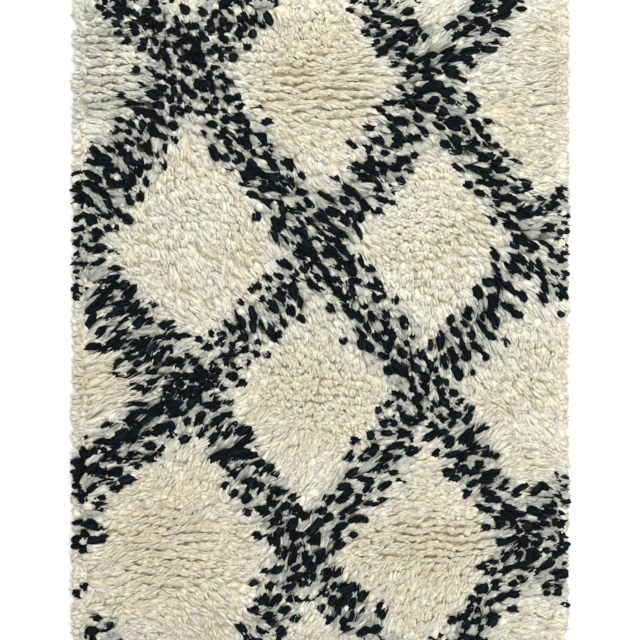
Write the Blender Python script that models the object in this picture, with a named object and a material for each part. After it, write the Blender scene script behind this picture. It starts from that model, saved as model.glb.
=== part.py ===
"""A cut length of hand-knotted shag rug, lying flat: a lumpy slab of wool pile with locks round its rim.

Metres, +Z up. The underside lies on z = 0, the pile looks up, the warp runs along Y and the knot rows along X.
"""

import math
import random

import bmesh
import bpy
from mathutils import Vector, noise

NAME = "beni_ourain_rug"

# The cut length of foundation cloth that the pile is knotted on.
WIDTH = 0.600
LENGTH = 0.800
CLOTH_THICKNESS = 0.004

# The pile's surface, which rounds down at the rim where no neighbours hold it up.
PILE_TOP = 0.0245
RIM_TOP = 0.0145
RIM_ROUNDING = 0.032
CELL = 0.0134

# Lumps, where neighbouring knots bunch together.
LUMP_HEIGHT = 0.0056
LUMP_SPACING = 0.034
TUFT_HEIGHT = 0.0022
TUFT_SPACING = 0.015
RIM_WAVER = 0.0035
RIM_WAVER_SPACING = 0.090
RIM_RELIEF = 0.35

# Which level of the solid noise each unevenness is read from, so that no two repeat each other.
LUMP_LEVEL = 0.0
TUFT_LEVEL = 1.0
SIDE_LEVEL = 2.0
END_LEVEL = 3.0

# Partings, where the rows fall away from each other: centre x, centre y, half length, half width, depth.
PARTINGS = (
    (-0.105, 0.300, 0.190, 0.012, 0.0045),
    (-0.245, 0.188, 0.055, 0.011, 0.0035),
    (0.125, -0.272, 0.080, 0.011, 0.0035),
    (0.020, 0.262, 0.090, 0.010, 0.0030),
    (-0.200, -0.255, 0.070, 0.010, 0.0025),
)

# Locks of wool that hang over the rim. Each starts as one wall face and narrows in two bends.
LOCK_BENDS = 2
LOCK_REACH = 0.0150
LOCK_REACH_SPREAD = 0.0045
LOCK_TAPER = (0.52, 0.20)
LOCK_SWAY = (0.0021, 0.0048)
LOCK_DROP = (0.0008, 0.0052)
LOCK_CLEARANCE = 0.0006
LOCK_SEED = 7

WOOL_COLOUR = (0.64, 0.60, 0.47, 1.0)
WOOL_ROUGHNESS = 0.95
SHARP_ANGLE = math.radians(50)


def clear_scene():
    for old in list(bpy.data.objects):
        bpy.data.objects.remove(old, do_unlink=True)


def uneven(x, y, spacing, level):
    """Smooth noise between about -0.7 and 0.7, with swells about as far apart as spacing."""
    return noise.noise(Vector((x / spacing, y / spacing, level)))


def parting_depth(x, y):
    """How far the partings lower the pile at (x, y)."""
    depth = 0.0
    for centre_x, centre_y, half_length, half_width, deepest in PARTINGS:
        along = (x - centre_x) / half_length
        across = (y - centre_y) / half_width
        depth += deepest * math.exp(-(along**4) - across**2)
    return depth


def pile_height(x, y):
    """The height of the pile's surface at (x, y), measured from the floor."""
    to_rim = min(WIDTH / 2 - abs(x), LENGTH / 2 - abs(y))
    inward = min(max(to_rim / RIM_ROUNDING, 0.0), 1.0)
    rounded = PILE_TOP - (PILE_TOP - RIM_TOP) * (1 - inward) ** 2
    lump = LUMP_HEIGHT * uneven(x, y, LUMP_SPACING, LUMP_LEVEL)
    tuft = TUFT_HEIGHT * uneven(x, y, TUFT_SPACING, TUFT_LEVEL)
    kept = RIM_RELIEF + (1 - RIM_RELIEF) * inward
    return rounded + (lump + tuft - parting_depth(x, y)) * kept


def wavered(x, y):
    """(x, y) moved a little, so that the cut edges aren't ruled lines. The middle hardly moves."""
    outwards = RIM_WAVER * uneven(0.0, y, RIM_WAVER_SPACING, SIDE_LEVEL)
    endwards = RIM_WAVER * uneven(x, 0.0, RIM_WAVER_SPACING, END_LEVEL)
    return x + outwards * x / (WIDTH / 2), y + endwards * y / (LENGTH / 2)


def add_pile_surface(shape):
    """The upper surface: a grid of cells about as wide as one bunch of locks."""
    columns = round(WIDTH / CELL)
    rows = round(LENGTH / CELL)
    bmesh.ops.create_grid(shape, x_segments=columns, y_segments=rows, size=0.5)
    for point in shape.verts:
        x = point.co.x * WIDTH
        y = point.co.y * LENGTH
        point.co = (*wavered(x, y), pile_height(x, y))


def rim_edges(shape):
    return [edge for edge in shape.edges if edge.is_boundary]


def add_wall(shape, foot):
    """One tier of wall from the rim down to the height of its foot; returns the wall's faces."""
    made = bmesh.ops.extrude_edge_only(shape, edges=rim_edges(shape))["geom"]
    for point in made:
        if isinstance(point, bmesh.types.BMVert):
            point.co.z = foot
    return [face for face in made if isinstance(face, bmesh.types.BMFace)]


def outward(face):
    """The level direction that points away from the rug at this wall face."""
    centre = face.calc_center_median()
    if WIDTH / 2 - abs(centre.x) < LENGTH / 2 - abs(centre.y):
        return Vector((math.copysign(1.0, centre.x), 0.0, 0.0))
    return Vector((0.0, math.copysign(1.0, centre.y), 0.0))


def shrink_about(face, centre, factor, floor):
    """Scales a face about its centre, moves it there and keeps it clear of the floor."""
    middle = face.calc_center_median()
    for point in face.verts:
        point.co = centre + (point.co - middle) * factor
        point.co.z = max(point.co.z, floor)


def add_rim_locks(shape, wall):
    """A four-sided lock from each wall face, drooping outwards and swaying along the rim."""
    dice = random.Random(LOCK_SEED)
    for root in sorted(wall, key=lambda face: tuple(face.calc_center_median())):
        away = outward(root)
        side = Vector((0.0, 0.0, 1.0)).cross(away)
        step = (LOCK_REACH - dice.uniform(0.0, LOCK_REACH_SPREAD)) / LOCK_BENDS
        lean = dice.uniform(-1.0, 1.0)
        start = root.calc_center_median()
        width = 1.0
        tip = root
        for bend in range(LOCK_BENDS):
            tip = bmesh.ops.extrude_discrete_faces(shape, faces=[tip])["faces"][0]
            centre = start + away * step * (bend + 1)
            centre += side * LOCK_SWAY[bend] * lean
            centre.z -= LOCK_DROP[bend]
            shrink_about(tip, centre, LOCK_TAPER[bend] / width, LOCK_CLEARANCE)
            width = LOCK_TAPER[bend]


def close_underside(shape):
    bottom = bmesh.ops.contextual_create(shape, geom=rim_edges(shape))["faces"]
    bmesh.ops.triangulate(shape, faces=bottom)


def centre_on_origin(shape):
    """Moves the shape so that the middle of its box stands on the origin."""
    for axis in range(2):
        places = [point.co[axis] for point in shape.verts]
        middle = (min(places) + max(places)) / 2
        for point in shape.verts:
            point.co[axis] -= middle


def wool_material():
    wool = bpy.data.materials.new("ivory_wool")
    wool.use_nodes = True
    surface = wool.node_tree.nodes["Principled BSDF"]
    surface.inputs["Base Color"].default_value = WOOL_COLOUR
    surface.inputs["Roughness"].default_value = WOOL_ROUGHNESS
    surface.inputs["Metallic"].default_value = 0.0
    return wool


def make_rug(collection):
    shape = bmesh.new()
    add_pile_surface(shape)
    pile_wall = add_wall(shape, CLOTH_THICKNESS)
    add_wall(shape, 0.0)
    close_underside(shape)
    bmesh.ops.recalc_face_normals(shape, faces=shape.faces)
    add_rim_locks(shape, pile_wall)
    bmesh.ops.recalc_face_normals(shape, faces=shape.faces)
    centre_on_origin(shape)
    mesh = bpy.data.meshes.new("rug")
    shape.to_mesh(mesh)
    shape.free()
    mesh.shade_smooth()
    mesh.set_sharp_from_angle(angle=SHARP_ANGLE)
    mesh.materials.append(wool_material())
    collection.objects.link(bpy.data.objects.new("rug", mesh))


def main():
    clear_scene()
    collection = bpy.data.collections.new(NAME)
    bpy.context.scene.collection.children.link(collection)
    make_rug(collection)


main()
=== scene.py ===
"""A cut length of deep hand-knotted shag rug: ivory wool with a blue-black lozenge lattice.

The pile is modelled strand by strand. The knots' cut ends stand in rows on a woven foundation. Each end is
a few strands that lean with the nap, and the pile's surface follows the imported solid's.
"""

import math
from collections import namedtuple

import bpy
import numpy as np
from mathutils import Matrix, Vector
from mathutils.bvhtree import BVHTree


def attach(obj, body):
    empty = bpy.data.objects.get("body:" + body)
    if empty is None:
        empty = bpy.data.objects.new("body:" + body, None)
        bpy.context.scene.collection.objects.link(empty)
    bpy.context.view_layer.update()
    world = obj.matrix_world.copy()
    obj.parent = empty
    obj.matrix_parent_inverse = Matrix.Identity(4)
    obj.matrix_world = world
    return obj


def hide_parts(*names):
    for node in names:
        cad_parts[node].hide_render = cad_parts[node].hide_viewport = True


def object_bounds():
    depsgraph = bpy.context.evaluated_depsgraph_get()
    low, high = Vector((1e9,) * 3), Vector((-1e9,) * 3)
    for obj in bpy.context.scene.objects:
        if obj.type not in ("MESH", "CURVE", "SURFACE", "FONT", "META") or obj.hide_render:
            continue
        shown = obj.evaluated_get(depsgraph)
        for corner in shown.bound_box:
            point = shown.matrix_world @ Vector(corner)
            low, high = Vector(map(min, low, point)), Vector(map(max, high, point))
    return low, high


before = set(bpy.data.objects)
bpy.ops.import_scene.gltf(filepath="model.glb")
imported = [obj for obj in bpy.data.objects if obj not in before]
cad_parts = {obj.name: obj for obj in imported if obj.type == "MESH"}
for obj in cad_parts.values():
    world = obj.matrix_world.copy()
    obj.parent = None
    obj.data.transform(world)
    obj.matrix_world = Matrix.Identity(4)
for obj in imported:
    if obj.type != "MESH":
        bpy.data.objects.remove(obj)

SOLID_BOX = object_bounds()
SEED = 20

# Sizes in metres. X runs along the knot rows, Y along the warp.
CLOTH = (0.600, 0.800)
CLOTH_TOP = 0.0040
CLOTH_BACK = 0.0014
CLOTH_CELL = 0.020
ROW_PITCH = 0.0100
END_PITCH = 0.0075
FLOOR_GAP = 0.0005

# The camera looks straight down, and at the pile's level its frame is as high as the cut length.
FRAME_HEIGHT = CLOTH[1]
CAMERA_HEIGHT = 1.50
SENSOR = 36.0
PILE_LEVEL = 0.022

# The studio. Its lamps: name, place, size in metres, watts and colour.
LAMPS = (
    ("key", (-0.2, 1.4, 2.0), 2.2, 30.5, (1.0, 0.99, 0.955)),
    ("fill", (1.4, -0.4, 1.7), 1.8, 16.5, (1.0, 0.99, 0.97)),
)
WORLD_COLOUR = (1.0, 0.985, 0.955, 1.0)
WORLD_STRENGTH = 0.86
FLOOR_SIZE = 12.0
FLOOR_COLOUR = (0.86, 0.86, 0.86, 1.0)

# The lie of the nap: x, y, heading in degrees from +X towards +Y, and lean from 0 (upright) to 1 (flat).
NAP = (
    (-0.280, 0.350, -14, 0.50),
    (-0.255, 0.290, -12, 0.50),
    (-0.275, 0.235, -20, 0.62),
    (-0.160, 0.325, -60, 0.42),
    (-0.040, 0.365, -80, 0.50),
    (0.015, 0.305, -5, 0.50),
    (0.075, 0.300, -10, 0.50),
    (-0.065, 0.300, -14, 0.50),
    (-0.025, 0.272, -10, 0.60),
    (0.045, 0.272, -8, 0.60),
    (0.015, 0.240, -60, 0.60),
    (-0.225, 0.220, -80, 0.60),
    (-0.095, 0.225, -40, 0.60),
    (-0.175, 0.150, -60, 0.55),
    (-0.240, 0.130, -45, 0.60),
    (-0.150, 0.090, -65, 0.65),
    (-0.100, 0.045, -45, 0.65),
    (-0.210, 0.050, -60, 0.65),
    (-0.270, 0.025, 32, 0.85),
    (-0.250, -0.040, 35, 0.85),
    (-0.285, -0.090, 12, 0.80),
    (-0.160, -0.075, 40, 0.45),
    (-0.240, -0.140, 25, 0.80),
    (-0.120, -0.160, 42, 0.80),
    (-0.180, -0.195, 80, 0.60),
    (-0.215, -0.250, 10, 0.65),
    (-0.125, -0.275, 5, 0.55),
    (-0.225, -0.310, 16, 0.65),
    (-0.175, -0.378, -50, 0.60),
    (-0.275, -0.350, 15, 0.70),
    (0.000, 0.105, -45, 0.75),
    (0.070, 0.210, -30, 0.60),
    (-0.060, 0.020, -58, 0.60),
    (0.035, 0.015, -60, 0.60),
    (-0.025, -0.060, -80, 0.32),
    (0.025, -0.125, -65, 0.35),
    (-0.025, -0.175, 55, 0.60),
    (0.015, -0.215, 42, 0.65),
    (-0.040, -0.275, 66, 0.70),
    (0.025, -0.350, 60, 0.65),
    (0.080, -0.170, 40, 0.75),
    (0.120, -0.085, -72, 0.48),
    (0.245, -0.035, -78, 0.50),
    (0.260, -0.100, -52, 0.65),
    (0.180, -0.160, 40, 0.75),
    (0.100, -0.205, 12, 0.55),
    (0.060, -0.275, 12, 0.50),
    (0.150, -0.270, 0, 0.36),
    (0.140, -0.350, 72, 0.60),
    (0.245, -0.210, 10, 0.60),
    (0.285, -0.225, -25, 0.85),
    (0.235, -0.300, 38, 0.55),
    (0.275, -0.375, 5, 0.60),
    (0.275, 0.375, -22, 0.75),
    (0.280, 0.310, 15, 0.80),
    (0.200, 0.340, 12, 0.80),
    (0.125, 0.350, 30, 0.60),
    (0.150, 0.260, -35, 0.60),
    (0.260, 0.250, -8, 0.65),
    (0.210, 0.190, -32, 0.60),
    (0.275, 0.130, 8, 0.70),
    (0.140, 0.165, -50, 0.36),
    (0.145, 0.120, 10, 0.22),
    (0.150, 0.055, -85, 0.60),
    (0.200, 0.100, -50, 0.65),
    (0.250, 0.040, -62, 0.75),
    (0.200, 0.000, -75, 0.60),
    (0.100, 0.000, -80, 0.55),
)
NAP_REACH = 0.030
# The weight that each entry keeps everywhere, so that the blend is never empty.
LEAST_WEIGHT = 1e-9

# The lozenge lattice: where its bands cross or leave the cut length.
CROSSINGS = {
    "top_left": (-0.250, 0.405),
    "top_mid_left": (-0.095, 0.405),
    "top_mid": (0.062, 0.405),
    "top_right": (0.228, 0.405),
    "a": (-0.164, 0.328),
    "b": (0.138, 0.306),
    "c": (0.000, 0.086),
    "d": (0.268, 0.100),
    "e": (-0.306, 0.106),
    "f": (-0.154, -0.078),
    "g": (0.132, -0.080),
    "h": (-0.022, -0.284),
    "i": (0.260, -0.268),
    "j": (-0.302, -0.208),
    "left_low": (-0.290, -0.260),
    "right_high": (0.305, 0.150),
    "right_mid": (0.305, 0.045),
    "right_low": (0.305, -0.222),
    "right_foot": (0.305, -0.315),
    "foot_mid_left": (-0.074, -0.405),
    "foot_mid": (0.076, -0.405),
    "foot_right": (0.172, -0.405),
}
# The bands: from, to, bow to the left of the way, half width, and share of dark ends in its middle.
BANDS = (
    ("top_left", "a", 0.000, 0.036, 0.66),
    ("top_mid_left", "a", 0.006, 0.042, 0.64),
    ("top_mid", "b", 0.000, 0.034, 0.58),
    ("top_right", "b", 0.008, 0.034, 0.52),
    ("a", "e", 0.002, 0.040, 0.61),
    ("a", "c", 0.000, 0.036, 0.60),
    ("b", "c", 0.009, 0.035, 0.57),
    ("b", "d", 0.001, 0.034, 0.56),
    ("d", "right_high", 0.006, 0.032, 0.48),
    ("d", "right_mid", 0.005, 0.034, 0.50),
    ("e", "f", -0.028, 0.040, 0.54),
    ("c", "f", 0.005, 0.036, 0.49),
    ("c", "g", -0.002, 0.036, 0.56),
    ("d", "g", 0.010, 0.032, 0.53),
    ("f", "j", 0.002, 0.036, 0.55),
    ("j", "left_low", 0.004, 0.028, 0.62),
    ("f", "h", -0.006, 0.034, 0.52),
    ("g", "h", 0.014, 0.034, 0.48),
    ("g", "i", -0.003, 0.033, 0.54),
    ("i", "right_low", -0.003, 0.032, 0.57),
    ("i", "right_foot", 0.000, 0.038, 0.58),
    ("i", "foot_right", 0.008, 0.031, 0.54),
    ("h", "foot_mid_left", 0.000, 0.032, 0.46),
    ("h", "foot_mid", -0.004, 0.032, 0.50),
)
# Places where the bands pile up darker: x, y, radius, share of dark ends.
KNOTTY = (
    (-0.164, 0.345, 0.040, 0.72),
    (-0.152, -0.078, 0.036, 0.78),
    (0.262, -0.268, 0.036, 0.70),
    (-0.222, 0.225, 0.030, 0.66),
    (-0.105, -0.165, 0.026, 0.70),
    (0.132, -0.084, 0.036, 0.62),
    (0.000, 0.090, 0.040, 0.60),
    (0.128, 0.318, 0.030, 0.60),
    (-0.020, -0.284, 0.036, 0.58),
    (-0.275, -0.396, 0.032, 0.58),
    (-0.296, -0.340, 0.016, 0.36),
)
# Where bands and dark places fade, as shares of their half width and radius.
BAND_FADE = (0.20, 1.50)
KNOTTY_FADE = (0.5, 1.0)
# How the shares become dark ends: a factor on them, the share that is too small for any, and chance in the
# rounding.
DARK_RATE = 0.82
LEAST_SHARE = 0.04
ROUNDING_CHANCE = 0.14
# What an end's rounding passes on to the next end in its row, and to the two beyond it in the next row.
PASSED_ON = (0.40, 0.30, 0.30)

# Where the rows stand apart and creases run between them: x, y, half length, half width, strength.
CREASED = (
    (0.006, 0.294, 0.130, 0.060, 1.0),
    (-0.275, 0.310, 0.085, 0.085, 1.0),
    (0.290, 0.300, 0.065, 0.075, 0.9),
    (0.137, -0.283, 0.120, 0.050, 1.0),
    (-0.010, -0.080, 0.095, 0.065, 0.5),
    (-0.205, -0.295, 0.105, 0.070, 0.75),
    (-0.270, -0.085, 0.065, 0.075, 0.8),
    (0.140, 0.110, 0.090, 0.050, 0.4),
)
CREASE_FADE = (0.4, 1.0)
# What creases leave of the rows' jitter, the ends' turns, the strands' curl and width, and the underwool.
CREASED_JITTER = 0.25
CREASED_TURN = 0.50
CREASED_CURL = 0.40
CREASED_WIDTH = 0.75
CREASED_UNDERWOOL = 0.35

# Warmer and cooler patches of the ivory, which also make it lighter or darker: x, y, radius, warmth. The cool
# one at the top left is painted shadow of a fold in the pile.
TINT_AND_SHADE_PATCHES = (
    (-0.005, 0.300, 0.060, 0.34),
    (0.145, 0.110, 0.060, 0.03),
    (-0.030, -0.100, 0.060, 0.26),
    (0.140, -0.300, 0.065, 0.34),
    (-0.200, -0.280, 0.085, 0.26),
    (-0.165, 0.130, 0.075, -0.06),
    # Painted shadow of a fold: cooler and darker ivory at the top left.
    (-0.285, 0.300, 0.065, -0.18),
    (-0.290, -0.060, 0.050, 0.25),
    (0.290, -0.080, 0.080, 0.08),
    (0.260, 0.250, 0.060, 0.11),
)
# Warmth from 0 (cool) to 1 (yellow): its middle, slow swells, chance, and how far dark neighbours cool and
# darken it, which is painted shade.
WARMTH = 0.45
WARMTH_SWELL = 0.12
WARMTH_SPACING = 0.045
WARMTH_CHANCE = 0.03
COOLING_AND_SHADE = 0.75

# Slow swells come from chance heights on a grid that goes past the cloth by a margin and a few spare lines.
SWELL_MARGIN = 0.1
SWELL_SPARE = 3

# How knots stray: every second row is staggered, rows swing slowly, and knots stray along and across them.
STAGGER = 0.5
ROW_SWING = 0.0045
ROW_SWING_SPACING = 0.036
KNOT_STRAY = 0.0018
ROW_JITTER = 0.0064

# How ends stray from the nap, in clumps and one by one. Turns are in degrees.
CLUMP_TURN = 20
CLUMP_TURN_SPACING = 0.020
END_TURN = 11
CLUMP_LEAN = 0.12
CLUMP_LEAN_SPACING = 0.024
END_LEAN = 0.05
LEAN_RANGE = (0.10, 0.95)
CURLING = 0.15
# How much higher and longer one end is than the next.
TALLER = 0.0008
LONGER = 0.07

# What is known of each end: a row of the array of ends
X, Y, HEADING, LEAN, SPLAY, TALL, CURL, DARK = range(8)

# The ends along the cut edges, which have no neighbours to hold them up: inset, pitch, lean and splay.
RIM_TIERS = (
    (0.0012, 0.0060, 0.62, 0.85),
    (0.0042, 0.0075, 0.30, 0.50),
)
RIM_PLACES = (0.2, 0.8)
RIM_STRAY = 0.0015
RIM_TURN = 16
RIM_LEAN = 0.10
RIM_SHORTENING = 0.10
RIM_THINNING = 0.25
CORNER_FAN = 42
CORNER_SHARPNESS = 24
# How far strands hang over the rim, the chance in it, and how far their tips fall, as shares of their rise.
OVERHANG = 0.0150
OVERHANG_CHANCE = (0.75, 1.15)
FALL = 0.9
FALL_CHANCE = 0.3

# How far the tips of an end stand from its root: upright, and what its lean and the cube of its lean add.
UPRIGHT_REACH = 0.005
LEAN_REACH = 0.018
FLAT_REACH = 0.022
# Shares of that reach: the middle of what shows from above, and where the end meets the pile's surface.
SEEN = 0.75
CROWN = 0.8

# How a strand's girth swells from root to tip. Each strand is a closed spindle.
BODY = {"sides": 4, "rings": (0.14, 0.74), "girth": (1.25, 0.92)}
LOCK = {"sides": 3, "rings": (0.28, 0.62, 0.90), "girth": (0.80, 1.00, 0.62)}
CLUB = {"sides": 5, "rings": (0.14, 0.46, 0.76, 0.93), "girth": (0.60, 0.94, 1.02, 0.66)}
HAIR = {"sides": 3, "rings": (0.35, 0.75), "girth": (1.00, 0.80)}

# The strands of one end: kind, share of ends that have it, offset along the row, turn from the nap in
# degrees, length share, width, depth, lift, and droop, which is the tip's height as a share of the crown's.
Strand = namedtuple("Strand", "kind share offset turn length width depth lift droop")
IVORY_END = (
    Strand(BODY, 1.0, 0.0000, 0.0, 0.94, 0.0116, 0.0096, 0.0011, 0.80),
    Strand(LOCK, 1.0, -0.0036, 3.0, 0.98, 0.0052, 0.0024, -0.0006, 0.76),
    Strand(LOCK, 1.0, -0.0018, -3.0, 1.04, 0.0054, 0.0024, 0.0004, 0.82),
    Strand(LOCK, 1.0, 0.0000, 2.0, 0.96, 0.0056, 0.0024, 0.0008, 0.84),
    Strand(LOCK, 1.0, 0.0018, 4.0, 1.02, 0.0054, 0.0024, 0.0004, 0.82),
    Strand(LOCK, 1.0, 0.0036, -4.0, 0.96, 0.0052, 0.0024, -0.0006, 0.76),
    Strand(HAIR, 0.3, 0.0000, 14.0, 1.10, 0.0009, 0.0007, 0.0010, 0.96),
)
DARK_END = (
    Strand(BODY, 1.0, 0.0000, 0.0, 0.84, 0.0088, 0.0074, -0.0006, 0.84),
    Strand(CLUB, 1.0, 0.0004, -1.0, 1.00, 0.0098, 0.0070, 0.0016, 0.92),
    Strand(LOCK, 1.0, -0.0030, 4.0, 0.92, 0.0044, 0.0034, 0.0014, 0.90),
    Strand(LOCK, 1.0, 0.0032, -4.0, 0.96, 0.0044, 0.0034, 0.0014, 0.90),
    Strand(HAIR, 1.0, 0.0040, -2.0, 0.94, 0.0010, 0.0008, 0.0016, 0.94),
    Strand(HAIR, 1.0, -0.0040, 3.0, 0.98, 0.0010, 0.0008, 0.0016, 0.94),
    Strand(HAIR, 1.0, 0.0020, -7.0, 1.06, 0.0010, 0.0008, 0.0018, 0.92),
    Strand(HAIR, 1.0, -0.0020, 7.0, 1.04, 0.0010, 0.0008, 0.0018, 0.92),
)

# The line of a strand: how far out and up its middle pulls it, and its crimp and twist in metres and radians.
MIDDLE_REACH = 0.28
MIDDLE_RISE = 1.08
CRIMP = 0.0007
CRIMP_TURN = 7.5
TWIST = 0.5
# A nudge towards the heading's side, which gives a strand that stands straight up a side of its own.
SIDE_NUDGE = 1e-3

# How strands differ from their end and from each other. Those of upright ends differ more.
ROOT_SINK = 0.0010
ROOT_MARGIN = 0.001
ROOT_STRAY = 0.0004
ROOT_JITTER = 0.0005
STRAND_TURN = 3
STRAND_CURLING = 0.07
STRAND_LENGTHS = (0.86, 1.12)
STRAND_WIDTHS = (0.65, 1.40)
STRAND_SINK = 0.0006
DROOP_CHANCE = 0.07
UPRIGHT_LEANS = (0.15, 0.50)
UPRIGHT_JITTER = 0.0022
UPRIGHT_TURN = 40
UPRIGHT_DEPTH = 0.4

# How many triangles one piece of the pile may have
MOST_TRIANGLES = 190_000

# Matted wool inside the pile: depth under the surface, cell, and the width in which it falls to the rim.
UNDERWOOL_DEPTH = 0.0115
UNDERWOOL_STEP = 0.0100
UNDERWOOL_RIM = 0.012

# The foundation's yarns, and how far the warp and loose hairs change the height of the weft's ribs.
WARP_PITCH = 0.0038
WEFT_PITCH = 0.0050
WARP_RELIEF = 0.35
HAIR_RELIEF = 0.6

# The knots' backs, which show in rows under the cloth.
KNOT_BACK = {"sides": 3, "rings": (0.25, 0.75), "girth": (1.00, 1.00)}
KNOT_LENGTH = 0.0066
KNOT_WIDTH = 0.0036
KNOT_WIDTHS = (0.85, 1.10)
KNOT_DEPTH = 0.0020
KNOT_TURN = 7

# Colours are picked from a sheet of cells, one strand's skin to a cell: tone across, chance variants up.
SHEET = "OFBake"
TONES = 16
VARIANTS = 8
CELL_MARGIN = 0.04
DARKEST_CELL = 0.96
# The tone from which an end is of one wool, and how far the strands of cooler ends differ, as a share of what
# they lack of it.
PURE_TONE = 5
TONE_MIX = (-0.6, 1.0)

# Light that strikes through soft wool evens out its sides: how much, and how far below level a side may face
# and still get it.
SOFTENING = 1.5
SOFT_BELOW = 0.5

# Fibre lines on a strand's skin: how many across it and along it, and their share of the relief.
COARSE_FIBRES = (9.0, 1.4, 0.6)
FINE_FIBRES = (30.0, 2.0, 0.4)
WOOL_RELIEF = 0.0010
CLOTH_RELIEF = 0.0005


def smooth_step(low, high, value):
    """0 up to low, 1 from high on, and a smooth rise between them."""
    part = np.clip((value - low) / (high - low), 0, 1)
    return part * part * (3 - 2 * part)


def between(grid, column, row, across, up):
    """Values of a grid, the shares across and up of the way from its points at column, row to the next."""
    low = grid[row, column] * (1 - across) + grid[row, column + 1] * across
    high = grid[row + 1, column] * (1 - across) + grid[row + 1, column + 1] * across
    return low * (1 - up) + high * up


def smooth_noise(x, y, spacing, dice):
    """Swells between -1 and 1, about as far apart as spacing, at the points x, y."""
    columns = int((CLOTH[0] + 2 * SWELL_MARGIN) / spacing) + SWELL_SPARE
    rows = int((CLOTH[1] + 2 * SWELL_MARGIN) / spacing) + SWELL_SPARE
    heights = dice.uniform(-1, 1, (rows, columns))
    across = (x + CLOTH[0] / 2 + SWELL_MARGIN) / spacing
    up = (y + CLOTH[1] / 2 + SWELL_MARGIN) / spacing
    column = np.floor(across).astype(int)
    row = np.floor(up).astype(int)
    return between(heights, column, row, smooth_step(0, 1, across - column), smooth_step(0, 1, up - row))


class Surface:
    """The height of the solid's pile surface, read once on a grid of points."""

    STEP = 0.005
    # Places stop this many lines before the count of lines, so that each has a next line.
    SHORT_OF_END = 1.001

    def __init__(self, node):
        mesh = node.data
        points = [point.co.copy() for point in mesh.vertices]
        tree = BVHTree.FromPolygons(points, [tuple(face.vertices) for face in mesh.polygons])
        self.columns = round(CLOTH[0] / self.STEP) + 1
        self.rows = round(CLOTH[1] / self.STEP) + 1
        self.heights = np.zeros((self.rows, self.columns))
        above = SOLID_BOX[1].z + self.STEP
        down = Vector((0.0, 0.0, -1.0))
        inset = 1 - self.STEP / CLOTH[0]
        for row in range(self.rows):
            y = (row * self.STEP - CLOTH[1] / 2) * inset
            for column in range(self.columns):
                x = (column * self.STEP - CLOTH[0] / 2) * inset
                place = tree.ray_cast(Vector((x, y, above)), down)[0]
                self.heights[row, column] = place.z if place else CLOTH_TOP

    def at(self, x, y):
        across = np.clip((x + CLOTH[0] / 2) / self.STEP, 0, self.columns - self.SHORT_OF_END)
        up = np.clip((y + CLOTH[1] / 2) / self.STEP, 0, self.rows - self.SHORT_OF_END)
        column = across.astype(int)
        row = up.astype(int)
        return between(self.heights, column, row, across - column, up - row)


def outside(x, y):
    """How far the points x, y lie outside the cloth, or, as a negative number, inside it."""
    return np.maximum(np.abs(x) - CLOTH[0] / 2, np.abs(y) - CLOTH[1] / 2)


def nap_at(x, y):
    """(east, north) lean of the nap at x, y, blended from the table. Opposed naps stand upright."""
    nap_x, nap_y, heading, lean = np.array(NAP).T
    away = (x[:, None] - nap_x) ** 2 + (y[:, None] - nap_y) ** 2
    weight = np.exp(-away / (2 * NAP_REACH**2)) + LEAST_WEIGHT
    heading = np.radians(heading)
    east = (weight * lean * np.cos(heading)).sum(1) / weight.sum(1)
    north = (weight * lean * np.sin(heading)).sum(1) / weight.sum(1)
    return east, north


def dark_share(x, y):
    """The share of knots that are dark at the points x, y: high along the lattice's bands."""
    share = np.zeros_like(x)
    for start, end, bow, half_width, middle in BANDS:
        sx, sy = CROSSINGS[start]
        ex, ey = CROSSINGS[end]
        length = math.hypot(ex - sx, ey - sy)
        ux, uy = (ex - sx) / length, (ey - sy) / length
        along = (x - sx) * ux + (y - sy) * uy
        part = np.clip(along / length, 0, 1)
        across = (y - sy) * ux - (x - sx) * uy - bow * 4 * part * (1 - part)
        off = np.hypot(across, along - part * length)
        fade = smooth_step(BAND_FADE[0] * half_width, BAND_FADE[1] * half_width, off)
        share = np.maximum(share, middle * (1 - fade))
    for cx, cy, radius, middle in KNOTTY:
        off = np.hypot(x - cx, y - cy)
        fade = smooth_step(KNOTTY_FADE[0] * radius, KNOTTY_FADE[1] * radius, off)
        share = np.maximum(share, middle * (1 - fade))
    return share


def evenness(x, y):
    """How freely strands leave their row, from 0 to 1: hardly where creases run between the rows."""
    even = np.ones_like(x)
    for cx, cy, half_length, half_width, strength in CREASED:
        off = np.hypot((x - cx) / half_length, (y - cy) / half_width)
        even = np.minimum(even, 1 - strength * (1 - smooth_step(*CREASE_FADE, off)))
    return even


def creased_to(least, even):
    """1 where the pile is even, and down to least where it is creased."""
    return least + (1 - least) * even


def patch_warmth_and_shade(x, y):
    warmth = np.zeros_like(x)
    for cx, cy, radius, warm in TINT_AND_SHADE_PATCHES:
        warmth += warm * np.exp(-((x - cx) ** 2 + (y - cy) ** 2) / radius**2)
    return warmth


def tint(x, y, dice):
    """The column of the colour sheet for wool at x, y: cool and darker near dark knots, which is painted
    shade, and warmer or cooler in patches, one of which is a painted shadow.
    """
    swell = WARMTH_SWELL * smooth_noise(x, y, WARMTH_SPACING, dice)
    warmth = WARMTH + swell + WARMTH_CHANCE * dice.normal(0, 1, x.shape) - COOLING_AND_SHADE * dark_share(x, y)
    warmth += patch_warmth_and_shade(x, y)
    return np.clip((warmth * TONES).astype(int), 0, TONES - 1)


def reach_of(lean, splay):
    """How far the tips stand from their roots, seen from above."""
    return (UPRIGHT_REACH + LEAN_REACH * lean + FLAT_REACH * lean**3) * (1 - RIM_SHORTENING * splay)


def seen_place(x, y, heading, lean, splay):
    """Where the middle of the part of an end that shows from above lies."""
    reach = SEEN * reach_of(lean, splay)
    return x + reach * np.cos(heading), y + reach * np.sin(heading)


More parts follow.
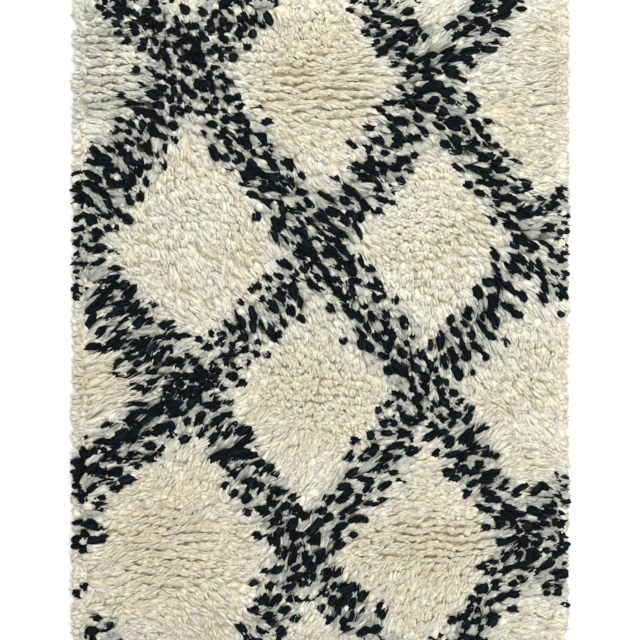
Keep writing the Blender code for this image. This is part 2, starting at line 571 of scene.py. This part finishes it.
def knot_roots(dice):
    """Roots of the knots' ends on their rows, as arrays of rows by columns."""
    rows = round(CLOTH[1] / ROW_PITCH)
    columns = round(CLOTH[0] / END_PITCH)
    row, column = np.mgrid[0:rows, 0:columns]
    x = (column + STAGGER / 2 + STAGGER * (row % 2)) * CLOTH[0] / columns - CLOTH[0] / 2
    y = (row + 0.5) * CLOTH[1] / rows - CLOTH[1] / 2
    y = y + ROW_SWING * smooth_noise(x, y, ROW_SWING_SPACING, dice)
    x = x + dice.uniform(-KNOT_STRAY, KNOT_STRAY, x.shape)
    jitter = dice.uniform(-0.5, 0.5, x.shape) * ROW_JITTER
    return x, y + jitter * creased_to(CREASED_JITTER, evenness(x, y))


def scattered(share, dice):
    """Marks dark ends on the rows, kept apart: each passes what it rounds off on to its neighbours."""
    rows, columns = share.shape
    owed = np.zeros((rows + 1, columns + 2))
    dark = np.zeros(share.shape, bool)
    for row in range(rows):
        way = 1 if row % 2 else -1
        for column in range(columns)[::way]:
            place = column + 1
            wanted = share[row, column] + owed[row, place]
            limit = 0.5 + dice.uniform(-ROUNDING_CHANCE, ROUNDING_CHANCE)
            dark[row, column] = wanted > limit and share[row, column] > LEAST_SHARE
            rest = wanted - dark[row, column]
            owed[row, place + way] += rest * PASSED_ON[0]
            owed[row + 1, place] += rest * PASSED_ON[1]
            owed[row + 1, place + way] += rest * PASSED_ON[2]
    return dark


def lie_of_knots(x, y, dice):
    """(heading, lean) of each end on the rows: the nap's, with clumps and chance."""
    east, north = nap_at(x.ravel(), y.ravel())
    heading = np.arctan2(north, east).reshape(x.shape)
    lean = np.hypot(east, north).reshape(x.shape)
    loose = creased_to(CREASED_TURN, evenness(x, y))
    heading = heading + loose * math.radians(CLUMP_TURN) * smooth_noise(x, y, CLUMP_TURN_SPACING, dice)
    heading = heading + loose * math.radians(END_TURN) * dice.normal(0, 1, x.shape)
    lean = lean + CLUMP_LEAN * smooth_noise(x, y, CLUMP_LEAN_SPACING, dice)
    lean = lean + END_LEAN * dice.normal(0, 1, x.shape)
    return heading, np.clip(lean, *LEAN_RANGE)


def rows_of_knots(dice):
    """The ends that stand on the rows."""
    x, y = knot_roots(dice)
    heading, lean = lie_of_knots(x, y, dice)
    dark = scattered(DARK_RATE * dark_share(*seen_place(x, y, heading, lean, 0.0)), dice)
    tall = dice.normal(0, 1, x.shape)
    curl = CURLING * dice.normal(0, 1, x.shape)
    return np.stack([part.ravel() for part in (x, y, heading, lean, np.zeros_like(x), tall, curl, dark)])


def rim_side(tier, quarter, dice):
    """One tier's ends along one cut edge. Quarter 0 faces +X, and the next ones go round to the left."""
    inset, pitch, lean, splay = tier
    across, length = CLOTH if quarter % 2 == 0 else CLOTH[::-1]
    count = round(length / pitch)
    along = (np.arange(count) + dice.uniform(*RIM_PLACES, count)) * length / count - length / 2
    out = across / 2 - inset - dice.uniform(0.0, RIM_STRAY, count)
    corner = 2 * along / length
    turn = math.radians(90 * quarter)
    heading = turn + math.radians(CORNER_FAN) * np.sign(corner) * np.abs(corner) ** CORNER_SHARPNESS
    heading = heading + math.radians(RIM_TURN) * dice.normal(0, 1, count)
    x = out * math.cos(turn) - along * math.sin(turn)
    y = out * math.sin(turn) + along * math.cos(turn)
    east, north = nap_at(x, y)
    heading = np.arctan2(
        splay * np.sin(heading) + (1 - splay) * north, splay * np.cos(heading) + (1 - splay) * east
    )
    leans = lean + RIM_LEAN * dice.normal(0, 1, count)
    dark = dice.uniform(0, 1, count) < DARK_RATE * dark_share(x, y)
    tall = dice.normal(0, 1, count)
    curl = CURLING * dice.normal(0, 1, count)
    return np.stack((x, y, heading, leans, np.full(count, splay), tall, curl, dark))


def rim_ends(dice):
    """The ends that close the cut edges."""
    sides = [rim_side(tier, quarter, dice) for tier in RIM_TIERS for quarter in range(4)]
    return np.concatenate(sides, axis=1)


def held_back(x, y, heading, reach, dice):
    """(reach, how far past the rim) of strands, which are shortened so that none hangs far over."""
    over = np.maximum(outside(x + reach * np.cos(heading), y + reach * np.sin(heading)), 0.0)
    reach = reach - np.maximum(over - OVERHANG * dice.uniform(*OVERHANG_CHANCE, len(x)), 0.0)
    return reach, np.minimum(over, OVERHANG)


def strands(surface, ends, strand, dice):
    """(place, size) arrays of one strand of each end, as build_strands takes them."""
    x, y, heading, lean, splay, tall, curl = ends
    count = len(x)
    even = evenness(x, y)
    upright = (1 - smooth_step(*UPRIGHT_LEANS, lean)) * even
    x = x + strand.offset * (1 - splay) + dice.normal(0, ROOT_STRAY, count)
    y = y + dice.uniform(-1, 1, count) * (ROOT_JITTER + UPRIGHT_JITTER * upright)
    x = np.clip(x, ROOT_MARGIN - CLOTH[0] / 2, CLOTH[0] / 2 - ROOT_MARGIN)
    y = np.clip(y, ROOT_MARGIN - CLOTH[1] / 2, CLOTH[1] / 2 - ROOT_MARGIN)
    heading = heading + math.radians(strand.turn) * (1 + splay)
    heading = heading + dice.normal(0, 1, count) * np.radians(STRAND_TURN + UPRIGHT_TURN * upright)
    reach = reach_of(lean, splay) * strand.length * (1 + LONGER * tall) * dice.uniform(*STRAND_LENGTHS, count)
    reach, over = held_back(x, y, heading, reach, dice)
    top = surface.at(x + CROWN * reach * np.cos(heading), y + CROWN * reach * np.sin(heading))
    top = top + strand.lift + TALLER * (tall - 1) - dice.uniform(0.0, STRAND_SINK, count) - strand.depth / 2
    droop = dice.uniform(strand.droop - DROOP_CHANCE, strand.droop + DROOP_CHANCE, count)
    droop = droop - (FALL + FALL_CHANCE * dice.uniform(-1, 1, count)) * over / OVERHANG
    curl = (curl + STRAND_CURLING * dice.normal(0, 1, count)) * creased_to(CREASED_CURL, even)
    width = strand.width * dice.uniform(*STRAND_WIDTHS, count) * creased_to(CREASED_WIDTH, even)
    width = width * (1 - RIM_THINNING * splay)
    depth = width * (1 + UPRIGHT_DEPTH * upright) * strand.depth / strand.width
    place = np.stack((x, y, np.full(count, CLOTH_TOP - ROOT_SINK), heading))
    return place, np.stack((reach, top - CLOTH_TOP, droop, curl, width, depth))


def middle_lines(place, course, stations, dice):
    """Points (strands, stations, 3) along the middles of strands. course: reach, rise, droop, curl."""
    x, y, z, heading = [part[:, None] for part in place]
    reach, rise, droop, curl = [part[:, None] for part in course]
    t = stations[None, :]
    out = reach * (2 * t * (1 - t) * MIDDLE_REACH + t * t)
    up = rise * (2 * t * (1 - t) * MIDDLE_RISE) + rise * droop * t * t
    wave = dice.uniform(0, 2 * math.pi, len(x))[:, None]
    sway = curl * reach * t * t + CRIMP * np.sin(wave + CRIMP_TURN * t) * t
    ahead_x, ahead_y = np.cos(heading), np.sin(heading)
    return np.stack((x + out * ahead_x - sway * ahead_y, y + out * ahead_y + sway * ahead_x, z + up), axis=2)


def crossways(line, heading):
    """(side, over) unit vectors at each point of the middle lines, for the strands' width and depth."""
    way = np.gradient(line, axis=1)
    way /= np.linalg.norm(way, axis=2, keepdims=True)
    side = np.stack((-way[:, :, 1], way[:, :, 0], np.zeros_like(way[:, :, 0])), axis=2)
    side += np.stack((-np.sin(heading), np.cos(heading), 0 * heading), axis=1)[:, None, :] * SIDE_NUDGE
    side /= np.linalg.norm(side, axis=2, keepdims=True)
    return side, np.cross(way, side)


def build_strands(kind, place, size, dice):
    """Vertices (strands, points, 3) of spindles: the root, the rings and the tip.

    place holds x, y, z and heading. size holds reach, rise, droop, curl, width and depth.
    """
    count = place.shape[1]
    sides = kind["sides"]
    *course, width, depth = size
    line = middle_lines(place, course, np.array((0.0, *kind["rings"], 1.0)), dice)
    side, over = crossways(line, place[-1])
    girth = np.array(kind["girth"])[None, :, None]
    twist = dice.uniform(-TWIST, TWIST, count)[:, None, None]
    turn = twist + np.arange(sides) * 2 * math.pi / sides - math.pi / 2
    across = np.cos(turn) * (width / 2)[:, None, None]
    deep = np.sin(turn) * (depth / 2)[:, None, None]
    rings = (
        line[:, 1:-1, None, :]
        + side[:, 1:-1, None, :] * (girth * across)[:, :, :, None]
        + over[:, 1:-1, None, :] * (girth * deep)[:, :, :, None]
    )
    points = np.concatenate((line[:, :1], rings.reshape(count, -1, 3), line[:, -1:]), axis=1)
    points[:, :, 2] = np.maximum(points[:, :, 2], FLOOR_GAP)
    return points


def spindle_faces(kind):
    """(corner numbers, corner u, corner v, corners per face) of one spindle."""
    sides = kind["sides"]
    stations = (0.0, *kind["rings"], 1.0)
    last = len(kind["rings"]) * sides + 1
    corners, across, along, counts = [], [], [], []
    for side in range(sides):
        after = (side + 1) % sides
        left, right = side / sides, (side + 1) / sides
        corners += [0, 1 + after, 1 + side]
        across += [(left + right) / 2, right, left]
        along += [stations[0], stations[1], stations[1]]
        counts.append(3)
        for ring in range(len(kind["rings"]) - 1):
            base = 1 + ring * sides
            corners += [base + side, base + after, base + sides + after, base + sides + side]
            across += [left, right, right, left]
            along += [stations[ring + 1]] * 2 + [stations[ring + 2]] * 2
            counts.append(4)
        base = last - sides
        corners += [base + side, base + after, last]
        across += [left, right, (left + right) / 2]
        along += [stations[-2], stations[-2], stations[-1]]
        counts.append(3)
    return np.array(corners), np.array(across), np.array(along), np.array(counts)


def add_object(name, data):
    made = bpy.data.objects.new(name, data)
    bpy.context.scene.collection.objects.link(made)
    return made


def strand_mesh(name, groups):
    """A joined mesh of spindles whose skins lie in the colour sheet's cells."""
    points, loops, sizes, sheet = [], [], [], []
    inner = 1 - 2 * CELL_MARGIN
    base = 0
    for kind, vertices, tone, variant in groups:
        count, each = vertices.shape[:2]
        corners, across, along, counts = spindle_faces(kind)
        loops.append((corners[None, :] + np.arange(count)[:, None] * each).ravel() + base)
        sizes.append(np.tile(counts, count))
        points.append(vertices.reshape(-1))
        u = (tone[:, None] + CELL_MARGIN + inner * across[None, :]) / TONES
        v = (variant[:, None] + CELL_MARGIN + inner * along[None, :]) / VARIANTS
        sheet.append(np.stack((u, v), axis=2).reshape(-1))
        base += count * each
    loops = np.concatenate(loops).astype(np.int32)
    sizes = np.concatenate(sizes).astype(np.int32)
    starts = np.concatenate(([0], np.cumsum(sizes)[:-1])).astype(np.int32)
    mesh = bpy.data.meshes.new(name)
    mesh.vertices.add(base)
    mesh.vertices.foreach_set("co", np.concatenate(points).astype(np.float32))
    mesh.loops.add(len(loops))
    mesh.loops.foreach_set("vertex_index", loops)
    mesh.polygons.add(len(sizes))
    mesh.polygons.foreach_set("loop_start", starts)
    mesh.polygons.foreach_set("loop_total", sizes)
    mesh.polygons.foreach_set("use_smooth", np.ones(len(sizes), bool))
    layer = mesh.uv_layers.new(name=SHEET)
    layer.uv.foreach_set("vector", np.concatenate(sheet).astype(np.float32))
    mesh.update()
    mesh.validate()
    return add_object(name, mesh)


class Shader:
    """A Principled material with small helpers to add its nodes."""

    # A Mix node's sockets for colours
    FIRST_COLOUR = 6
    SECOND_COLOUR = 7
    MIXED_COLOUR = 2

    def __init__(self, name):
        self.material = bpy.data.materials.new(name)
        self.material.use_nodes = True
        self.tree = self.material.node_tree
        self.surface = self.tree.nodes["Principled BSDF"]

    def node(self, kind, **settings):
        made = self.tree.nodes.new(kind)
        for setting, value in settings.items():
            setattr(made, setting, value)
        return made

    def link(self, source, target):
        self.tree.links.new(source, target)

    def maths(self, operation, first, second=None):
        made = self.node("ShaderNodeMath", operation=operation)
        for socket, value in zip(made.inputs, (first, second)):
            if value is None:
                continue
            if isinstance(value, (int, float)):
                socket.default_value = value
            else:
                self.link(value, socket)
        return made.outputs[0]

    def ramp(self, factor, stops):
        made = self.node("ShaderNodeValToRGB")
        ramp = made.color_ramp
        while len(ramp.elements) < len(stops):
            ramp.elements.new(1.0)
        for element, (place, colour) in zip(ramp.elements, stops):
            element.position = place
            element.color = (*colour, 1.0)
        self.link(factor, made.inputs[0])
        return made.outputs[0]

    def multiply(self, first, second):
        made = self.node("ShaderNodeMix", data_type="RGBA", blend_type="MULTIPLY")
        made.inputs["Factor"].default_value = 1.0
        self.link(first, made.inputs[self.FIRST_COLOUR])
        self.link(second, made.inputs[self.SECOND_COLOUR])
        return made.outputs[self.MIXED_COLOUR]

    def point(self, x, y):
        made = self.node("ShaderNodeCombineXYZ")
        self.link(x, made.inputs["X"])
        self.link(y, made.inputs["Y"])
        return made.outputs[0]

    def parts(self, vector):
        made = self.node("ShaderNodeSeparateXYZ")
        self.link(vector, made.inputs[0])
        return made.outputs

    def noise(self, place, scale, detail, dimensions="3D"):
        made = self.node("ShaderNodeTexNoise", noise_dimensions=dimensions)
        made.inputs["Scale"].default_value = scale
        made.inputs["Detail"].default_value = detail
        self.link(place, made.inputs["Vector"])
        return made.outputs["Fac"]

    def bump(self, height, strength, distance, normal=None):
        """Relief for the surface, on the given normal or else on its own."""
        made = self.node("ShaderNodeBump")
        made.inputs["Strength"].default_value = strength
        made.inputs["Distance"].default_value = distance
        self.link(height, made.inputs["Height"])
        if normal is not None:
            self.link(normal, made.inputs["Normal"])
        self.link(made.outputs[0], self.surface.inputs["Normal"])

    def finish(self, colour, values):
        """The material, with a linked colour and plain values for the sockets named."""
        self.link(colour, self.surface.inputs["Base Color"])
        for socket, value in values.items():
            self.surface.inputs[socket].default_value = value
        return self.material


def softened_normal(shader):
    """The strand's normal turned part way up. Undersides keep their own."""
    here = shader.node("ShaderNodeNewGeometry").outputs["Normal"]
    facing = shader.maths("ADD", shader.parts(here)["Z"], SOFT_BELOW)
    upper = shader.maths("MINIMUM", shader.maths("MAXIMUM", facing, 0.0), 1.0)
    lift = shader.node("ShaderNodeCombineXYZ")
    shader.link(shader.maths("MULTIPLY", upper, SOFTENING), lift.inputs["Z"])
    up = shader.node("ShaderNodeVectorMath", operation="ADD")
    shader.link(here, up.inputs[0])
    shader.link(lift.outputs[0], up.inputs[1])
    unit = shader.node("ShaderNodeVectorMath", operation="NORMALIZE")
    shader.link(up.outputs[0], unit.inputs[0])
    return unit.outputs[0]


def cell_colour(shader, across, along, tones):
    """The colour of a cell of the sheet: its column picks the tone, and chance darkens it a little."""
    column = shader.maths("FLOOR", across)
    row = shader.maths("FLOOR", along)
    tone = shader.maths("DIVIDE", shader.maths("ADD", column, 0.5), TONES)
    chance = shader.node("ShaderNodeTexWhiteNoise", noise_dimensions="2D")
    shader.link(shader.point(column, row), chance.inputs["Vector"])
    shade = shader.ramp(chance.outputs["Value"], ((0.0, (DARKEST_CELL,) * 3), (1.0, (1.0,) * 3)))
    return shader.multiply(shader.ramp(tone, tones), shade)


def fibre_lines(shader, across, along, lines_across, lines_along, share):
    """Uneven lines that run along each strand: a grey value about half the share."""
    x = shader.maths("MULTIPLY", across, lines_across)
    y = shader.maths("MULTIPLY", along, lines_along)
    fibres = shader.noise(shader.point(x, y), scale=1.0, detail=2.0, dimensions="2D")
    return shader.maths("MULTIPLY", fibres, share)


def wool(name, tones, painted_root_shade, fibre_tone_and_groove_shade, roughness, sheen, sheen_tint, depth):
    """Wool whose tone is its cell's, darker towards each strand's root as painted shade, with fibre streaks
    along each strand that are darker in the grooves of their relief, partly as painted shade.
    """
    shader = Shader(name)
    sheet = shader.parts(shader.node("ShaderNodeUVMap", uv_map=SHEET).outputs[0])
    across = shader.maths("MULTIPLY", sheet["X"], TONES)
    along = shader.maths("MULTIPLY", sheet["Y"], VARIANTS)
    base = cell_colour(shader, across, along, tones)
    # Painted shade: the colour darkens towards each strand's root, deep in the pile.
    base = shader.multiply(base, shader.ramp(shader.maths("FRACT", along), painted_root_shade))
    coarse = fibre_lines(shader, across, along, *COARSE_FIBRES)
    fine = fibre_lines(shader, across, along, *FINE_FIBRES)
    lines = shader.maths("ADD", coarse, fine)
    shader.bump(lines, strength=0.35, distance=WOOL_RELIEF, normal=softened_normal(shader))
    # Fibre lines darken the colour where their relief is low: partly the fibres' own tone, partly painted
    # shade in the grooves between them.
    return shader.finish(
        shader.multiply(base, shader.ramp(lines, fibre_tone_and_groove_shade)),
        {
            "Roughness": roughness,
            "Specular IOR Level": 0.05,
            "Subsurface Weight": depth,
            "Subsurface Radius": (1.0, 0.85, 0.60),
            "Subsurface Scale": 0.004,
            "Sheen Weight": sheen,
            "Sheen Roughness": 0.5,
            "Sheen Tint": (*sheen_tint, 1.0),
        },
    )


def ivory_wool():
    return wool(
        "ivory_wool",
        tones=(
            # The two coolest tones are grey and dark: painted shade on ivory among the dark knots.
            (0.00, (0.36, 0.395, 0.36)),
            (0.15, (0.55, 0.575, 0.50)),
            (0.36, (0.87, 0.855, 0.71)),
            (0.52, (0.83, 0.775, 0.60)),
            (1.00, (0.77, 0.68, 0.46)),
        ),
        # Painted shade: a little darker and warmer towards the root.
        painted_root_shade=((0.0, (0.97, 0.94, 0.89)), (0.5, (1.0, 1.0, 1.0)), (1.0, (0.98, 0.98, 0.98))),
        # Fibre tone with painted shade in the grooves between fibres.
        fibre_tone_and_groove_shade=((0.36, (0.80, 0.77, 0.70)), (0.54, (1.0, 1.0, 1.0))),
        roughness=0.85,
        sheen=0.15,
        sheen_tint=(1.0, 0.97, 0.90),
        depth=0.45,
    )


def dark_wool():
    return wool(
        "dark_wool",
        tones=((0.0, (0.007, 0.015, 0.021)), (0.6, (0.012, 0.021, 0.026)), (1.0, (0.023, 0.030, 0.033))),
        # Painted shade: much darker towards the root.
        painted_root_shade=((0.0, (0.6, 0.6, 0.6)), (1.0, (1.0, 1.0, 1.0))),
        # Fibre tone with painted shade: near black in the grooves between fibres.
        fibre_tone_and_groove_shade=((0.44, (0.03, 0.04, 0.05)), (0.66, (1.0, 1.0, 1.0))),
        roughness=0.8,
        sheen=0.12,
        sheen_tint=(0.75, 0.85, 0.95),
        depth=0.0,
    )


def underwool_material():
    """Short matted wool, darker where most knots are dark. Its ivory is darker and yellower than the
    strands', and darkest in the hollows of its matting: painted shade of the pile's depths.
    """
    shader = Shader("underwool")
    here = shader.node("ShaderNodeTexCoord").outputs["Object"]
    mat = shader.noise(here, scale=320.0, detail=4.0)
    # Painted shade: ivory darkened as deep in the pile, most where the matting's relief is low.
    ivory = shader.ramp(mat, ((0.35, (0.60, 0.54, 0.40)), (0.65, (0.82, 0.77, 0.62))))
    darkness = shader.node("ShaderNodeAttribute", attribute_name="darkness").outputs["Fac"]
    shade = shader.ramp(darkness, ((0.20, (1.0, 1.0, 1.0)), (0.55, (0.10, 0.11, 0.12))))
    shader.bump(mat, strength=0.8, distance=WOOL_RELIEF)
    return shader.finish(shader.multiply(ivory, shade), {"Roughness": 0.95, "Specular IOR Level": 0.05})


def cloth_material():
    """Plain weave of wool yarn: weft ribs along X that pass over and under the warp. The yarn is darker where
    the relief is low, as painted shade between the ribs.
    """
    shader = Shader("foundation_wool")
    here = shader.node("ShaderNodeTexCoord").outputs["Object"]
    parts = shader.parts(here)
    across = shader.maths("SINE", shader.maths("MULTIPLY", parts["X"], math.pi / WARP_PITCH))
    up = shader.maths("SINE", shader.maths("MULTIPLY", parts["Y"], 2 * math.pi / WEFT_PITCH))
    weave = shader.maths("MULTIPLY", shader.maths("MULTIPLY", across, WARP_RELIEF), up)
    ribs = shader.maths("ADD", shader.maths("ABSOLUTE", up), weave)
    hairs = shader.maths("MULTIPLY", shader.noise(here, scale=900.0, detail=3.0), HAIR_RELIEF)
    height = shader.maths("ADD", ribs, hairs)
    shader.bump(height, strength=1.0, distance=CLOTH_RELIEF)
    # Painted shade: the colour darkens where the weave's relief is low, between the ribs and among the loose
    # hairs.
    base = shader.ramp(height, ((0.1, (0.56, 0.50, 0.37)), (0.9, (0.80, 0.755, 0.62))))
    return shader.finish(base, {"Roughness": 0.9, "Sheen Weight": 0.1})


def dress(piece, material):
    piece.data.materials.append(material)
    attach(piece, "root")
    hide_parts("rug")


def split(count, most):
    """Ranges of at most most, as even as can be."""
    pieces = math.ceil(count / most)
    edges = np.linspace(0, count, pieces + 1).astype(int)
    return zip(edges[:-1], edges[1:])


def triangles_each(kind):
    return 2 * kind["sides"] * len(kind["rings"])


def grow(surface, table, ends, tone, dice):
    """The strand groups of some ends: kind, vertices, tone and variant of each."""
    groups = []
    for strand in table:
        some = np.flatnonzero(dice.uniform(0, 1, ends.shape[1]) < strand.share)
        place, size = strands(surface, ends[:DARK, some], strand, dice)
        vertices = build_strands(strand.kind, place, size, dice)
        mixed = tone[some] + np.maximum(PURE_TONE - tone[some], 0) * dice.uniform(*TONE_MIX, len(some))
        shade = np.clip(mixed.astype(int), 0, TONES - 1)
        groups.append((strand.kind, vertices, shade, dice.integers(0, VARIANTS, len(some))))
    return groups


def knot_backs(knots, tone, dice):
    """The strand group of the knots' backs: short loops that lie along the rows and show under the cloth."""
    count = knots.shape[1]
    flat = np.zeros(count)
    level = np.full(count, FLOOR_GAP + KNOT_DEPTH / 2)
    heading = dice.normal(0, math.radians(KNOT_TURN), count)
    width = KNOT_WIDTH * dice.uniform(*KNOT_WIDTHS, count)
    place = np.stack((knots[X] - KNOT_LENGTH / 2, knots[Y], level, heading))
    size = np.stack((flat + KNOT_LENGTH, flat, flat, flat, width, flat + KNOT_DEPTH))
    vertices = build_strands(KNOT_BACK, place, size, dice)
    return KNOT_BACK, vertices, tone, dice.integers(0, VARIANTS, count)


def pile_of(colour, material, table, ends, tone, surface, dice):
    """The knots' backs and the pile of one colour, in pieces that keep to the most triangles."""
    knotted = ends[SPLAY] == 0
    pieces = [strand_mesh(f"{colour}_knots", [knot_backs(ends[:, knotted], tone[knotted], dice)])]
    each = sum(triangles_each(strand.kind) * strand.share for strand in table)
    for first, last in split(ends.shape[1], int(MOST_TRIANGLES / each)):
        groups = grow(surface, table, ends[:, first:last], tone[first:last], dice)
        pieces.append(strand_mesh(f"{colour}_pile_{len(pieces)}", groups))
    for piece in pieces:
        dress(piece, material)
    return pieces


def make_pile(surface):
    dice = np.random.default_rng(SEED)
    rows = rows_of_knots(dice)
    ends = np.concatenate((rows, rim_ends(dice)), axis=1)
    ends = ends[:, np.argsort(-ends[Y], kind="stable")]
    tone = tint(*seen_place(*ends[: SPLAY + 1]), dice)
    dark = ends[DARK] > 0
    ivory_pieces = pile_of("ivory", ivory_wool(), IVORY_END, ends[:, ~dark], tone[~dark], surface, dice)
    dark_pieces = pile_of("dark", dark_wool(), DARK_END, ends[:, dark], tone[dark], surface, dice)
    return ivory_pieces + dark_pieces


def underwool(surface):
    """The inside of the pile, where the strands stand too close to see between them."""
    rows = round(CLOTH[1] / UNDERWOOL_STEP) + 1
    columns = round(CLOTH[0] / UNDERWOOL_STEP) + 1
    row, column = np.mgrid[0:rows, 0:columns]
    x = column * UNDERWOOL_STEP - CLOTH[0] / 2
    y = row * UNDERWOOL_STEP - CLOTH[1] / 2
    inside = smooth_step(0.0, UNDERWOOL_RIM, -outside(x, y)) * creased_to(CREASED_UNDERWOOL, evenness(x, y))
    z = CLOTH_TOP + (surface.at(x, y) - UNDERWOOL_DEPTH - CLOTH_TOP) * inside
    points = np.stack((x, y, z), axis=2).reshape(-1, 3)
    corner = (row * columns + column)[:-1, :-1].ravel()
    faces = np.stack((corner, corner + 1, corner + 1 + columns, corner + columns), axis=1)
    mesh = bpy.data.meshes.new("underwool")
    mesh.from_pydata(points.tolist(), [], faces.tolist())
    mesh.shade_smooth()
    darkness = mesh.attributes.new("darkness", "FLOAT", "POINT")
    darkness.data.foreach_set("value", dark_share(x, y).ravel().astype(np.float32))
    return add_object("underwool", mesh)


def foundation():
    """The woven cloth that the knots are tied on."""
    columns = round(CLOTH[0] / CLOTH_CELL)
    rows = round(CLOTH[1] / CLOTH_CELL)
    bpy.ops.mesh.primitive_grid_add(x_subdivisions=columns, y_subdivisions=rows, size=1)
    cloth = bpy.context.object
    cloth.name = "foundation"
    cloth.data.transform(Matrix.Diagonal((CLOTH[0], CLOTH[1], 1, 1)))
    for point in cloth.data.vertices:
        point.co.z = CLOTH_TOP
    thick = cloth.modifiers.new("thick", "SOLIDIFY")
    thick.thickness = CLOTH_TOP - CLOTH_BACK
    thick.offset = -1
    return cloth


def floor():
    bpy.ops.mesh.primitive_plane_add(size=FLOOR_SIZE)
    ground = bpy.context.object
    ground.name = "floor"
    shader = Shader("floor_white")
    shader.surface.inputs["Base Color"].default_value = FLOOR_COLOUR
    shader.surface.inputs["Roughness"].default_value = 0.6
    ground.data.materials.append(shader.material)


def area_light(name, place, size, power, colour):
    """A round lamp that shines at the origin."""
    light = bpy.data.lights.new(name, "AREA")
    light.shape = "DISK"
    light.size = size
    light.energy = power
    light.color = colour
    lamp = add_object(name, light)
    lamp.location = place
    lamp.rotation_euler = (-Vector(place)).to_track_quat("-Z", "Y").to_euler()


def studio():
    for lamp in LAMPS:
        area_light(*lamp)
    world = bpy.data.worlds.new("studio")
    world.use_nodes = True
    back = world.node_tree.nodes["Background"]
    back.inputs["Color"].default_value = WORLD_COLOUR
    back.inputs["Strength"].default_value = WORLD_STRENGTH
    bpy.context.scene.world = world
    bpy.context.scene.view_settings.view_transform = "Standard"


def camera():
    lens = bpy.data.cameras.new("camera")
    lens.sensor_width = SENSOR
    lens.lens = SENSOR * (CAMERA_HEIGHT - PILE_LEVEL) / FRAME_HEIGHT
    eye = add_object("camera", lens)
    eye.location = (0.0, 0.0, CAMERA_HEIGHT)
    bpy.context.scene.camera = eye


def main():
    surface = Surface(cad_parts["rug"])
    pieces = make_pile(surface)
    inside = underwool(surface)
    dress(inside, underwool_material())
    pieces.append(inside)
    cloth = foundation()
    dress(cloth, cloth_material())
    floor()
    studio()
    camera()


main()
